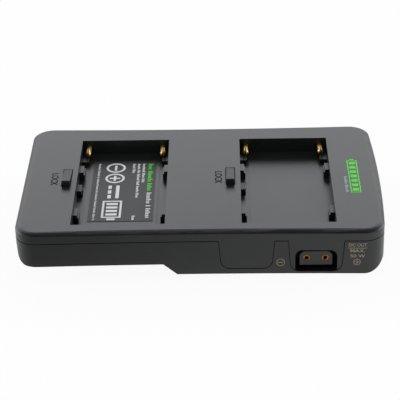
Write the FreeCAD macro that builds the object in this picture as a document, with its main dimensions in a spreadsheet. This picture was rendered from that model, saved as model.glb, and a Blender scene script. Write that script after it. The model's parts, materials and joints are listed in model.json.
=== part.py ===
import FreeCAD
import Part
import math
import os
import types
import Sketcher

# Battery adapter plate for two camcorder batteries, with a V-lock wedge on its underside.
# +X points to the thick end, +Y to the battery contacts, +Z out of the battery side.
# The origin is under the middle of the plate, on the face of the wedge.

# Driving dimensions, in millimetres
SIZES = {
    # Housing outline
    "left_margin": 22.7,
    "right_margin": 20.9,
    "front_margin": 8.4,
    "back_margin": 12.8,
    "thin_height": 15.2,
    "thick_height": 20.0,
    "thin_length": 60.9,
    "step_run": 5.65,
    "corner_radius": 9.0,
    "side_waist": 1.3,
    "end_crown": 1.8,
    "crown_radius": 4.8,
    "crown_run": 2.7,
    "crown_edge": 0.7,
    "thin_end_draft": 1.3,
    "thick_end_draft": 0.6,
    "thin_end_radius": 4.0,
    "thick_end_radius": 9.0,
    "seam_depth": 4.7,
    "seam_gap": 0.35,
    "seam_groove": 0.6,
    # Walls
    "side_wall": 2.2,
    "top_plate": 2.0,
    "base_wall": 2.0,
    "inner_radius": 4.0,
    # Battery pockets
    "pocket_width": 39.0,
    "pocket_length": 75.5,
    "pocket_depth": 7.0,
    "pocket_gap": 31.65,
    "tub_wall": 2.0,
    "tub_floor": 1.5,
    "platform_inset": 4.0,
    "platform_rise": 0.3,
    "tab_reach": 1.75,
    "tab_length": 6.2,
    "tab_drop": 3.0,
    "tab_foot_reach": 2.3,
    "tab_foot_drop": 4.2,
    "near_tab_start": 13.0,
    "far_tab_start": 50.8,
    # Battery pins and their boards
    "pin_rest_width": 3.2,
    "pin_rest_length": 10.9,
    "pin_rest_rise": 1.9,
    "pin_inset": 2.7,
    "pin_radius": 1.25,
    "pin_reach": 7.5,
    "pin_drop": 3.5,
    "pin_nose": 0.7,
    "pin_tail_radius": 0.6,
    "pin_tail_reach": 0.7,
    "pin_slit": 0.5,
    "pin_slit_depth": 3.6,
    "contact_board_lap": 0.5,
    "board_thickness": 1.6,
    "rib_spacing": 20.0,
    "rib_width": 2.0,
    # Lock buttons
    "lock_width": 3.55,
    "lock_length": 15.0,
    "lock_start": 33.0,
    "lock_rise": 2.6,
    "lock_land": 2.6,
    "lock_flange": 1.0,
    "lock_flange_depth": 1.6,
    "lock_travel": 2.5,
    "tooth_start": 35.8,
    "tooth_length": 5.8,
    "tooth_drop": 4.0,
    "tooth_height": 2.0,
    "tooth_reach": 1.95,
    "moving_gap": 0.35,
    "spring_radius": 1.3,
    "spring_wire": 0.4,
    "spring_turns": 5.0,
    "spring_nub_radius": 0.8,
    "spring_nub_height": 1.2,
    "spring_post": 5.2,
    # Tongues of the top cover in the front wall
    "tongue_width": 22.8,
    "tongue_taper": 1.1,
    "tongue_radius": 4.0,
    "tongue_gap": 0.25,
    "tongue_setback": 0.15,
    "tongue_sill": 2.5,
    "tongue_pitch": 28.55,
    "socket_shift": 10.875,
    # Power socket
    "socket_sill": 1.2,
    "recess_width": 17.2,
    "recess_radius": 3.0,
    "recess_roof": 0.5,
    "socket_cheek": 1.5,
    "socket_depth": 8.5,
    "socket_back": 2.0,
    "island_width": 13.4,
    "island_height": 6.4,
    "island_radius": 2.4,
    "island_setback": 1.6,
    "socket_pitch": 7.7,
    "sleeve_radius": 1.25,
    "sleeve_bore": 1.0,
    "sleeve_bore_depth": 7.5,
    "sleeve_inset": 0.3,
    "sleeve_tail_radius": 0.6,
    "sleeve_tail": 5.0,
    # V-lock wedge and its terminal block
    "wedge_height": 7.5,
    "wedge_length": 38.0,
    "wedge_wide": 56.0,
    "wedge_narrow": 43.0,
    "wedge_step_gap": 1.8,
    "wedge_flange": 3.4,
    "wedge_undercut": 3.0,
    "wedge_radius": 2.5,
    "wedge_edge": 0.6,
    "terminal_gap": 0.6,
    "terminal_length": 12.5,
    "terminal_width": 36.0,
    "terminal_lift": 0.6,
    "terminal_edge": 1.0,
    "spigot_width": 4.6,
    "spigot_inset": 2.0,
    "spigot_length": 5.5,
    "spigot_rise": 0.8,
    "slot_pitch": 9.0,
    "slot_width": 2.4,
    "slot_height": 4.2,
    "slot_depth": 7.0,
    "slot_lift": 1.0,
    "fork_leg": 0.5,
    "fork_tail": 1.2,
    "fork_tail_rise": 0.6,
    # Circuit board and what it carries
    "board_clear": 2.0,
    "board_end_gap": 5.0,
    "board_front_gap": 2.4,
    "board_back_gap": 6.0,
    "board_screw_inset": 4.0,
    "board_post": 5.2,
    "transistor_width": 6.6,
    "transistor_length": 6.1,
    "transistor_height": 2.3,
    "transistor_tab": 1.2,
    "transistor_pitch": 13.0,
    "transistor_shift": 10.0,
    "capacitor_radius": 4.0,
    "capacitor_height": 9.0,
    "capacitor_edge": 0.5,
    "fuse_radius": 2.5,
    "fuse_length": 20.0,
    "fuse_cap": 5.0,
    "fuse_waist": 0.2,
    "fuse_lift": 0.6,
    "clip_width": 3.6,
    "clip_metal": 0.4,
    # Leads
    "lead_radius": 0.8,
    "lead_bend": 1.5,
    "lead_rise": 2.0,
    "lead_pitch": 5.0,
    "lead_run_gap": 2.3,
    "lead_back": 2.4,
    # Screws
    "boss_width": 7.0,
    "boss_end_inset": 10.5,
    "boss_side_inset": 7.8,
    "boss_split": 3.5,
    "screw_shank": 1.2,
    "screw_length": 8.6,
    "screw_head": 2.2,
    "screw_head_height": 1.9,
    "screw_recess": 2.2,
    "wedge_screw_shank": 1.45,
    "wedge_screw_head": 2.5,
    "wedge_screw_head_height": 2.0,
    "wedge_screw_recess": 2.3,
    "wedge_screw_bite": 1.6,
    "wedge_bar_width": 5.4,
    "wedge_bar_rise": 2.4,
    "wedge_screw_inset": 7.0,
    "wedge_screw_side": 17.0,
    "board_screw_shank": 0.9,
    "board_screw_head": 1.8,
    "board_screw_head_height": 1.4,
    # Sticker on the left pocket's floor
    "label_width": 27.7,
    "label_length": 54.0,
    "label_start": 13.9,
    "label_thickness": 0.15,
    # Clearances
    "seat_gap": 0.1,
    "bore_gap": 0.06,
    "overcut": 1.0,
}

XY = "XY_Plane"
XZ = "XZ_Plane"
YZ = "YZ_Plane"

doc = FreeCAD.newDocument("battery_adapter")
sheet = doc.addObject("Spreadsheet::Sheet", "Sizes")
for row, (alias, number) in enumerate(SIZES.items(), start=1):
    sheet.set(f"A{row}", alias.replace("_", " "))
    sheet.set(f"B{row}", str(number))
    sheet.setAlias(f"B{row}", alias)
doc.recompute()


class Size:
    """A length: its value now, and the sheet formula that keeps it."""

    def __init__(self, value, formula):
        self.value = float(value)
        self.formula = formula

    def __add__(self, other):
        other = as_size(other)
        return Size(self.value + other.value, f"({self.formula} + {other.formula})")

    def __sub__(self, other):
        other = as_size(other)
        return Size(self.value - other.value, f"({self.formula} - {other.formula})")

    def __mul__(self, other):
        other = as_size(other)
        return Size(self.value * other.value, f"({self.formula} * {other.formula})")

    def __truediv__(self, other):
        other = as_size(other)
        return Size(self.value / other.value, f"({self.formula} / {other.formula})")

    def __neg__(self):
        return Size(-self.value, f"(0 - {self.formula})")


def as_size(item):
    """A plain number becomes a length with no cell behind it."""
    if isinstance(item, Size):
        return item
    return Size(item, repr(float(item)))


s = types.SimpleNamespace()
for alias in SIZES:
    setattr(s, alias, Size(sheet.get(alias), f"Sizes.{alias}"))
NOUGHT = as_size(0)

# Levels, from the wedge's face up
thin_base = s.wedge_height
top = thin_base + s.thin_height
thick_base = top - s.thick_height
seam = top - s.seam_depth
rim = seam + s.seam_gap
plate_under = top - s.top_plate
pocket_floor = top - s.pocket_depth
tub_under = pocket_floor - s.tub_floor
thin_floor = thin_base + s.base_wall
thick_floor = thick_base + s.base_wall
boss_split = thin_floor + s.boss_split

# Plan of the housing and its pockets
body_length = s.left_margin + s.pocket_width * 2 + s.pocket_gap + s.right_margin
body_width = s.front_margin + s.pocket_length + s.back_margin
left_end = -body_length / 2
right_end = body_length / 2
front_side = -body_width / 2
back_side = body_width / 2
inner_left = left_end + s.side_wall
inner_right = right_end - s.end_crown - s.side_wall
inner_front = front_side + s.side_waist + s.side_wall
inner_back = back_side - s.side_waist - s.side_wall
pocket_near = front_side + s.front_margin
pocket_far = pocket_near + s.pocket_length
pocket_left = {
    "left": left_end + s.left_margin,
    "right": right_end - s.right_margin - s.pocket_width,
}
pocket_right = {side: x + s.pocket_width for side, x in pocket_left.items()}
pocket_middle = {side: x + s.pocket_width / 2 for side, x in pocket_left.items()}
SIDES = ("left", "right")

# The step between the thin and the thick half
step_start = left_end + s.thin_length
step_end = step_start + s.step_run

# Side arcs of the outline, each through its two end points
side_arc = (body_length * body_length / 4 + s.side_waist * s.side_waist) / (s.side_waist * 2)
end_arc = (body_width * body_width / 4 + s.end_crown * s.end_crown) / (s.end_crown * 2)

# Screw bosses that join the two covers
boss_places = []
for boss_x in (left_end + s.boss_end_inset, right_end - s.boss_end_inset):
    for boss_y in (front_side + s.boss_side_inset, back_side - s.boss_side_inset):
        boss_places.append((boss_x, boss_y))
screw_seat = thin_base + s.screw_recess

# Lock buttons, one on the left of each pocket
lock_right = {side: x - s.lock_land for side, x in pocket_left.items()}
lock_left = {side: x - s.lock_width for side, x in lock_right.items()}
lock_near = pocket_near + s.lock_start
lock_far = lock_near + s.lock_length
tooth_near = pocket_near + s.tooth_start
tooth_far = tooth_near + s.tooth_length
tooth_top = top - s.tooth_drop
tooth_under = tooth_top - s.tooth_height
spring_x = {side: lock_left[side] + s.lock_width / 2 for side in SIDES}
spring_y = (tooth_near + tooth_far) / 2

# Tongues and the power socket
socket_x = pocket_middle["right"] + s.socket_shift
tongue_x = {"plain": socket_x - s.tongue_pitch, "socket": socket_x}
tongue_under = {"plain": thick_base + s.tongue_sill, "socket": thick_base + s.socket_sill}
recess_top = tub_under - s.recess_roof
recess_under = tongue_under["socket"] - s.tongue_gap
socket_z = (recess_top + tongue_under["socket"]) / 2
socket_back_face = inner_front + s.socket_depth
socket_end = socket_back_face + s.socket_back
island_front = front_side + s.side_waist + s.island_setback
socket_half = s.recess_width / 2 + s.socket_cheek

# Circuit board under the right pocket
board_top = socket_z - s.sleeve_tail_radius - s.bore_gap
board_under = board_top - s.board_thickness
board_left = pocket_left["right"] + s.board_clear
board_right = inner_right - s.board_end_gap
board_front = socket_end + s.board_front_gap
board_back = pocket_far + s.tub_wall - s.board_back_gap
board_middle = (board_front + board_back) / 2
board_post_places = []
for post_x in (board_left + s.board_screw_inset, board_right - s.board_screw_inset):
    for post_y in (board_front + s.board_screw_inset, board_back - s.board_screw_inset):
        board_post_places.append((post_x, post_y))
board_screw_places = [board_post_places[0], board_post_places[-1]]

# Battery pins, and the board behind the far wall of each pocket
pin_x = {}
for side in SIDES:
    pin_x[side, "negative"] = pocket_left[side] + s.pin_inset
    pin_x[side, "positive"] = pocket_right[side] - s.pin_inset
pin_z = top - s.pin_drop
contact_board_front = pocket_far + s.tub_wall
contact_board_back = contact_board_front + s.board_thickness

# V-lock wedge and terminal block under the thin half
wedge_end = step_start - s.wedge_step_gap
wedge_start = wedge_end - s.wedge_length
terminal_end = wedge_start - s.terminal_gap
terminal_start = terminal_end - s.terminal_length
wedge_screw_places = []
for screw_x in (wedge_start + s.wedge_screw_inset, wedge_end - s.wedge_screw_inset):
    for screw_y in (-s.wedge_screw_side, s.wedge_screw_side):
        wedge_screw_places.append((screw_x, screw_y))
spigot_start = terminal_start + s.spigot_inset
spigot_end = spigot_start + s.spigot_length
slot_under = s.terminal_lift + s.slot_lift
slot_end = terminal_start + s.slot_depth
fork_y = {"positive": s.slot_pitch * 1.5, "negative": -s.slot_pitch * 1.5}
fork_tail_x = slot_end - s.bore_gap - s.fork_tail / 2
fork_tail_top = thin_floor + s.spigot_rise + s.fork_tail_rise


def new_body(label):
    body = doc.addObject("PartDesign::Body", label)
    body.Label = label
    return body


def start_sketch(body, name, plane, level):
    """A sketch on one of the body's own planes, moved along the plane's axis to its level."""
    sketch = body.newObject("Sketcher::SketchObject", name)
    support = [item for item in body.Origin.OriginFeatures if item.Role == plane][0]
    sketch.AttachmentSupport = [(support, "")]
    sketch.MapMode = "FlatFace"
    offset = -as_size(level) if plane == XZ else as_size(level)
    sketch.setExpression("AttachmentOffset.Base.z", offset.formula)
    return sketch


def hold(sketch, kind, places, length):
    """Add one dimension to a sketch and tie it to its formula."""
    index = sketch.addConstraint(Sketcher.Constraint(kind, *places, length.value))
    sketch.setExpression(f"Constraints[{index}]", length.formula)


def hold_point(sketch, geometry, end, x, y):
    hold(sketch, "DistanceX", (-1, 1, geometry, end), as_size(x))
    hold(sketch, "DistanceY", (-1, 1, geometry, end), as_size(y))


def rectangle(sketch, x0, x1, y0, y1):
    """An upright rectangle between two pairs of places."""
    polygon(sketch, [(x0, y0), (x1, y0), (x1, y1), (x0, y1)])


def circle(sketch, x, y, radius):
    centre = FreeCAD.Vector(as_size(x).value, as_size(y).value, 0)
    ring = Part.Circle(centre, FreeCAD.Vector(0, 0, 1), radius.value)
    geometry = sketch.addGeometry(ring, False)
    hold_point(sketch, geometry, 3, x, y)
    hold(sketch, "Radius", (geometry,), radius)


def square(sketch, x, y, width):
    rectangle(sketch, x - width / 2, x + width / 2, y - width / 2, y + width / 2)


def flat_sided(sketch, x, y, inner_radius, sides=6):
    """An even loop of flats that touch a circle from outside."""
    corner = inner_radius / math.cos(math.pi / sides)
    turns = [2 * math.pi * number / sides for number in range(sides)]
    polygon(sketch, [(x + corner * math.cos(turn), y + corner * math.sin(turn)) for turn in turns])


def arc_between(centre, radius, first, last):
    """The arc that runs anticlockwise from one point of its circle to another."""
    start = math.atan2(first.y - centre.y, first.x - centre.x)
    end = math.atan2(last.y - centre.y, last.x - centre.x)
    ring = Part.Circle(centre, FreeCAD.Vector(0, 0, 1), radius)
    return Part.ArcOfCircle(ring, start, end)


def polygon(sketch, corners):
    """A closed loop, anticlockwise, through its corners; a corner may carry a radius."""
    count = len(corners)
    points = [FreeCAD.Vector(as_size(c[0]).value, as_size(c[1]).value, 0) for c in corners]
    radii = [as_size(c[2]) if len(c) > 2 else None for c in corners]
    entries = []
    exits = []
    centres = []
    for i in range(count):
        back = (points[i - 1] - points[i]).normalize()
        ahead = (points[(i + 1) % count] - points[i]).normalize()
        reach = 0.0
        centre = points[i]
        if radii[i] is not None:
            half = back.getAngle(ahead) / 2
            reach = radii[i].value / math.tan(half)
            centre = points[i] + (back + ahead).normalize() * (radii[i].value / math.sin(half))
        entries.append(points[i] + back * reach)
        exits.append(points[i] + ahead * reach)
        centres.append(centre)
    lines = []
    for i in range(count):
        segment = Part.LineSegment(exits[i], entries[(i + 1) % count])
        lines.append(sketch.addGeometry(segment, False))
    for i in range(count):
        before = lines[i - 1]
        after = lines[i]
        x, y = corners[i][0], corners[i][1]
        if radii[i] is None:
            sketch.addConstraint(Sketcher.Constraint("Coincident", before, 2, after, 1))
            hold_point(sketch, after, 1, x, y)
            continue
        left_turn = (entries[i] - points[i]).cross(exits[i] - points[i]).z < 0
        first, last = (entries[i], exits[i]) if left_turn else (exits[i], entries[i])
        arc = sketch.addGeometry(arc_between(centres[i], radii[i].value, first, last), False)
        start, end = (1, 2) if left_turn else (2, 1)
        sketch.addConstraint(Sketcher.Constraint("Tangent", before, 2, arc, start))
        sketch.addConstraint(Sketcher.Constraint("Tangent", arc, end, after, 1))
        hold(sketch, "Radius", (arc,), radii[i])
        corner = sketch.addGeometry(Part.Point(points[i]), True)
        hold_point(sketch, corner, 1, x, y)
        sketch.addConstraint(Sketcher.Constraint("PointOnObject", corner, 1, before))
        sketch.addConstraint(Sketcher.Constraint("PointOnObject", corner, 1, after))


def meeting_point(first, first_radius, second, second_radius, near):
    """Where two circles cross, on the side of a given point."""
    span = second - first
    distance = span.Length
    along = (first_radius ** 2 - second_radius ** 2 + distance ** 2) / (2 * distance)
    aside = math.sqrt(first_radius ** 2 - along ** 2)
    direction = span / distance
    normal = FreeCAD.Vector(-direction.y, direction.x, 0)
    middle = first + direction * along
    crossings = (middle + normal * aside, middle - normal * aside)
    return min(crossings, key=lambda point: point.distanceToPoint(near))


def outline(sketch, inset):
    """The housing's plan: straight left end, crowned right end, waisted long sides, round corners."""
    inset = as_size(inset)
    radius = s.corner_radius - inset
    side_radius = side_arc + inset
    end_radius = end_arc - inset
    left = left_end + inset
    side_middle = body_width / 2 - s.side_waist + side_arc
    end_middle = right_end - end_arc

    front_centre = FreeCAD.Vector(0, -side_middle.value, 0)
    back_centre = FreeCAD.Vector(0, side_middle.value, 0)
    end_centre = FreeCAD.Vector(end_middle.value, 0, 0)
    reach = side_radius.value + radius.value
    left_x = left.value + radius.value
    left_y = math.sqrt(reach ** 2 - left_x ** 2) - side_middle.value
    corner_point = FreeCAD.Vector(right_end.value, front_side.value, 0)
    right = meeting_point(front_centre, reach, end_centre, end_radius.value - radius.value, corner_point)
    front_left = FreeCAD.Vector(left_x, left_y, 0)
    front_right = right
    back_left = FreeCAD.Vector(left_x, -left_y, 0)
    back_right = FreeCAD.Vector(right.x, -right.y, 0)

    def on_side(centre, corner):
        return centre + (corner - centre) * (side_radius.value / reach)

    def on_end(corner):
        return corner + (corner - end_centre).normalize() * radius.value

    def on_left(corner):
        return FreeCAD.Vector(left.value, corner.y, 0)

    def arc(centre, arc_radius, first, last):
        return sketch.addGeometry(arc_between(centre, arc_radius.value, first, last), False)

    line = sketch.addGeometry(Part.LineSegment(on_left(back_left), on_left(front_left)), False)
    front = arc(front_centre, side_radius,
                on_side(front_centre, front_right), on_side(front_centre, front_left))
    end = arc(end_centre, end_radius, on_end(front_right), on_end(back_right))
    back = arc(back_centre, side_radius, on_side(back_centre, back_left), on_side(back_centre, back_right))
    corners = [
        arc(front_left, radius, on_left(front_left), on_side(front_centre, front_left)),
        arc(front_right, radius, on_side(front_centre, front_right), on_end(front_right)),
        arc(back_right, radius, on_end(back_right), on_side(back_centre, back_right)),
        arc(back_left, radius, on_side(back_centre, back_left), on_left(back_left)),
    ]
    joins = [
        (line, 2, corners[0], 1),
        (corners[0], 2, front, 2),
        (front, 1, corners[1], 1),
        (corners[1], 2, end, 1),
        (end, 2, corners[2], 1),
        (corners[2], 2, back, 2),
        (back, 1, corners[3], 1),
        (corners[3], 2, line, 1),
    ]
    for join in joins:
        sketch.addConstraint(Sketcher.Constraint("Tangent", *join))
    sketch.addConstraint(Sketcher.Constraint("Vertical", line))
    hold(sketch, "DistanceX", (-1, 1, line, 1), left)
    hold_point(sketch, front, 3, NOUGHT, -side_middle)
    hold_point(sketch, back, 3, NOUGHT, side_middle)
    hold_point(sketch, end, 3, end_middle, NOUGHT)
    for corner in corners:
        hold(sketch, "Radius", (corner,), radius)
    hold(sketch, "Radius", (front,), side_radius)
    hold(sketch, "Radius", (back,), side_radius)
    hold(sketch, "Radius", (end,), end_radius)


def finish_feature(body, feature, before, grows):
    """Recompute, and stop if a feature failed or went the wrong way."""
    doc.recompute()
    after = body.Shape.Volume
    changed = after > before if grows else after < before
    if not feature.isValid() or not changed:
        raise RuntimeError(f"{feature.Name} of {body.Label} did not change the solid as meant")
    return feature


def volume_of(body):
    return body.Shape.Volume if body.Tip else 0.0


def on_xz(sketch):
    return sketch.AttachmentSupport[0][0].Role == XZ


def add(body, sketch, depth):
    """Add material from the sketch's level towards the positive axis."""
    before = volume_of(body)
    feature = body.newObject("PartDesign::Pad", f"{sketch.Name}_pad")
    feature.Profile = sketch
    feature.Reversed = on_xz(sketch)
    feature.setExpression("Length", depth.formula)
    sketch.Visibility = False
    return finish_feature(body, feature, before, True)


def cut(body, sketch, depth):
    """Take material away from the sketch's level towards the positive axis."""
    before = volume_of(body)
    feature = body.newObject("PartDesign::Pocket", f"{sketch.Name}_cut")
    feature.Profile = sketch
    feature.Reversed = not on_xz(sketch)
    feature.setExpression("Length", depth.formula)
    sketch.Visibility = False
    return finish_feature(body, feature, before, False)


def turn(body, sketch):
    """Revolve a profile about the upright axis of its sketch."""
    before = volume_of(body)
    feature = body.newObject("PartDesign::Revolution", f"{sketch.Name}_turn")
    feature.Profile = sketch
    feature.ReferenceAxis = (sketch, ["V_Axis"])
    feature.Angle = 360
    sketch.Visibility = False
    return finish_feature(body, feature, before, True)


def edges_at(body, level, axis="z"):
    """Names of the edges that lie wholly at one level."""
    names = []
    for number, edge in enumerate(body.Shape.Edges, start=1):
        box = edge.BoundBox
        low, high = {"x": (box.XMin, box.XMax), "y": (box.YMin, box.YMax), "z": (box.ZMin, box.ZMax)}[axis]
        if abs(low - level.value) < 1e-4 and abs(high - level.value) < 1e-4:
            names.append(f"Edge{number}")
    return names


def dress(body, kind, edges, size):
    """Round or chamfer the named edges of a body's last feature."""
    before = volume_of(body)
    feature = body.newObject(f"PartDesign::{kind}", f"{body.Name}_{kind.lower()}")
    feature.Base = (body.Tip, edges) if body.Tip != feature else (feature.BaseFeature, edges)
    feature.setExpression("Radius" if kind == "Fillet" else "Size", size.formula)
    return finish_feature(body, feature, before, False)


def tongue_profile(sketch, name, gap, upper):
    """A tongue of the top cover, grown by a gap: wide at the seam, round at its lower corners."""
    middle = tongue_x[name]
    half = s.tongue_width / 2 + gap
    lower = tongue_under[name] - gap
    foot = half - s.tongue_taper
    polygon(sketch, [
        (middle - half, upper),
        (middle - foot, lower, s.tongue_radius + gap),
        (middle + foot, lower, s.tongue_radius + gap),
        (middle + half, upper),
    ])


def trim_outside(body, name, base, height, inset):
    """Cut away what stands outside the housing's plan."""
    sketch = start_sketch(body, name, XY, base)
    margin = s.corner_radius
    rectangle(sketch, left_end - margin, right_end + margin, front_side - margin, back_side + margin)
    outline(sketch, inset)
    cut(body, sketch, height)


def make_top_cover():
    body = new_body("top_cover")
    blank_base = top - s.crown_radius - s.overcut
    sketch = start_sketch(body, "cover_outline", XY, blank_base)
    outline(sketch, s.crown_run - s.crown_radius)
    add(body, sketch, top - blank_base)
    dress(body, "Fillet", edges_at(body, top), s.crown_radius)
    trim_outside(body, "cover_trim", blank_base - s.overcut, top - blank_base + s.overcut * 2, NOUGHT)
    crown_drop = s.crown_radius.value - math.sqrt(s.crown_radius.value ** 2 - s.crown_run.value ** 2)
    dress(body, "Fillet", edges_at(body, top - crown_drop), s.crown_edge)
    sketch = start_sketch(body, "cover_under", XY, blank_base - s.overcut)
    rectangle(sketch, left_end - s.overcut, right_end + s.overcut,
              front_side - s.overcut, back_side + s.overcut)
    cut(body, sketch, rim - blank_base + s.overcut)
    sketch = start_sketch(body, "cover_land", XY, seam)
    outline(sketch, s.seam_groove)
    add(body, sketch, s.seam_gap)

    sketch = start_sketch(body, "cover_hollow", XY, seam)
    polygon(sketch, [
        (inner_left, inner_front, s.inner_radius),
        (inner_right, inner_front, s.inner_radius),
        (inner_right, inner_back, s.inner_radius),
        (inner_left, inner_back, s.inner_radius),
    ])
    cut(body, sketch, plate_under - seam)

    sketch = start_sketch(body, "tubs", XY, tub_under)
    for side in SIDES:
        rectangle(sketch, pocket_left[side] - s.tub_wall, pocket_right[side] + s.tub_wall,
                  pocket_near - s.tub_wall, pocket_far + s.tub_wall)
    add(body, sketch, plate_under - tub_under)
    sketch = start_sketch(body, "pockets", XY, pocket_floor)
    for side in SIDES:
        rectangle(sketch, pocket_left[side], pocket_right[side], pocket_near, pocket_far)
    cut(body, sketch, s.pocket_depth + s.overcut)
    sketch = start_sketch(body, "platforms", XY, pocket_floor)
    for side in SIDES:
        rectangle(sketch, pocket_left[side] + s.platform_inset, pocket_right[side] - s.platform_inset,
                  pocket_near, pocket_far)
    add(body, sketch, s.platform_rise)

    tab_steps = [("guide_tabs", s.tab_drop, s.tab_reach), ("tab_feet", s.tab_foot_drop, s.tab_foot_reach)]
    for name, drop, reach in tab_steps:
        sketch = start_sketch(body, name, XY, pocket_floor)
        for side in SIDES:
            for start in (pocket_near + s.near_tab_start, pocket_near + s.far_tab_start):
                finish = start + s.tab_length
                rectangle(sketch, pocket_left[side], pocket_left[side] + reach, start, finish)
                rectangle(sketch, pocket_right[side] - reach, pocket_right[side], start, finish)
        add(body, sketch, s.pocket_depth - drop)
    sketch = start_sketch(body, "pin_rests", XY, pocket_floor)
    for side in SIDES:
        for x0, x1 in ((pocket_left[side], pocket_left[side] + s.pin_rest_width),
                       (pocket_right[side] - s.pin_rest_width, pocket_right[side])):
            rectangle(sketch, x0, x1, pocket_far - s.pin_rest_length, pocket_far)
    add(body, sketch, s.pin_rest_rise)

    sketch = start_sketch(body, "tongues", XZ, front_side - s.overcut)
    for name in tongue_x:
        tongue_profile(sketch, name, NOUGHT, rim)
    add(body, sketch, inner_front - front_side + s.overcut)
    trim_outside(body, "tongue_trim", thick_base, rim - thick_base, s.tongue_setback)
    sketch = start_sketch(body, "socket_window", XZ, front_side - s.overcut)
    half = s.recess_width / 2
    polygon(sketch, [
        (socket_x - half, recess_top, s.recess_radius),
        (socket_x - half, thick_base),
        (socket_x + half, thick_base),
        (socket_x + half, recess_top, s.recess_radius),
    ])
    cut(body, sketch, inner_front - front_side + s.overcut * 2)

    sketch = start_sketch(body, "lock_slots", XY, plate_under - s.overcut)
    gap = s.moving_gap
    for side in SIDES:
        rectangle(sketch, lock_left[side] - gap, lock_right[side] + gap, lock_near - gap, lock_far + gap)
    cut(body, sketch, s.top_plate + s.overcut * 2)
    tooth_reach_down = s.lock_travel + gap
    sketch = start_sketch(body, "tooth_windows", XY, tooth_under - tooth_reach_down)
    for side in SIDES:
        rectangle(sketch, pocket_left[side] - s.tub_wall - gap, pocket_left[side] + s.tooth_reach + gap,
                  tooth_near - gap, tooth_far + gap)
    cut(body, sketch, s.tooth_height + tooth_reach_down + gap)

    sketch = start_sketch(body, "pin_holes", XZ, pocket_far - s.overcut)
    for x in pin_x.values():
        circle(sketch, x, pin_z, s.pin_radius + s.bore_gap)
    cut(body, sketch, s.tub_wall + s.overcut * 2)

    sketch = start_sketch(body, "board_ribs", XY, tub_under)
    for side in SIDES:
        for way in (-0.5, 0.5):
            middle = pocket_middle[side] + s.rib_spacing * way
            rectangle(sketch, middle - s.rib_width / 2, middle + s.rib_width / 2,
                      contact_board_back + s.seat_gap, inner_back)
    add(body, sketch, plate_under - tub_under)

    sketch = start_sketch(body, "cover_bosses", XY, boss_split)
    for x, y in boss_places:
        square(sketch, x, y, s.boss_width)
    add(body, sketch, plate_under - boss_split)
    sketch = start_sketch(body, "pilot_holes", XY, boss_split - s.overcut)
    for x, y in boss_places:
        flat_sided(sketch, x, y, s.screw_shank + s.bore_gap)
    cut(body, sketch, screw_seat + s.screw_length + s.seat_gap - boss_split + s.overcut)
    return body


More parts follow.
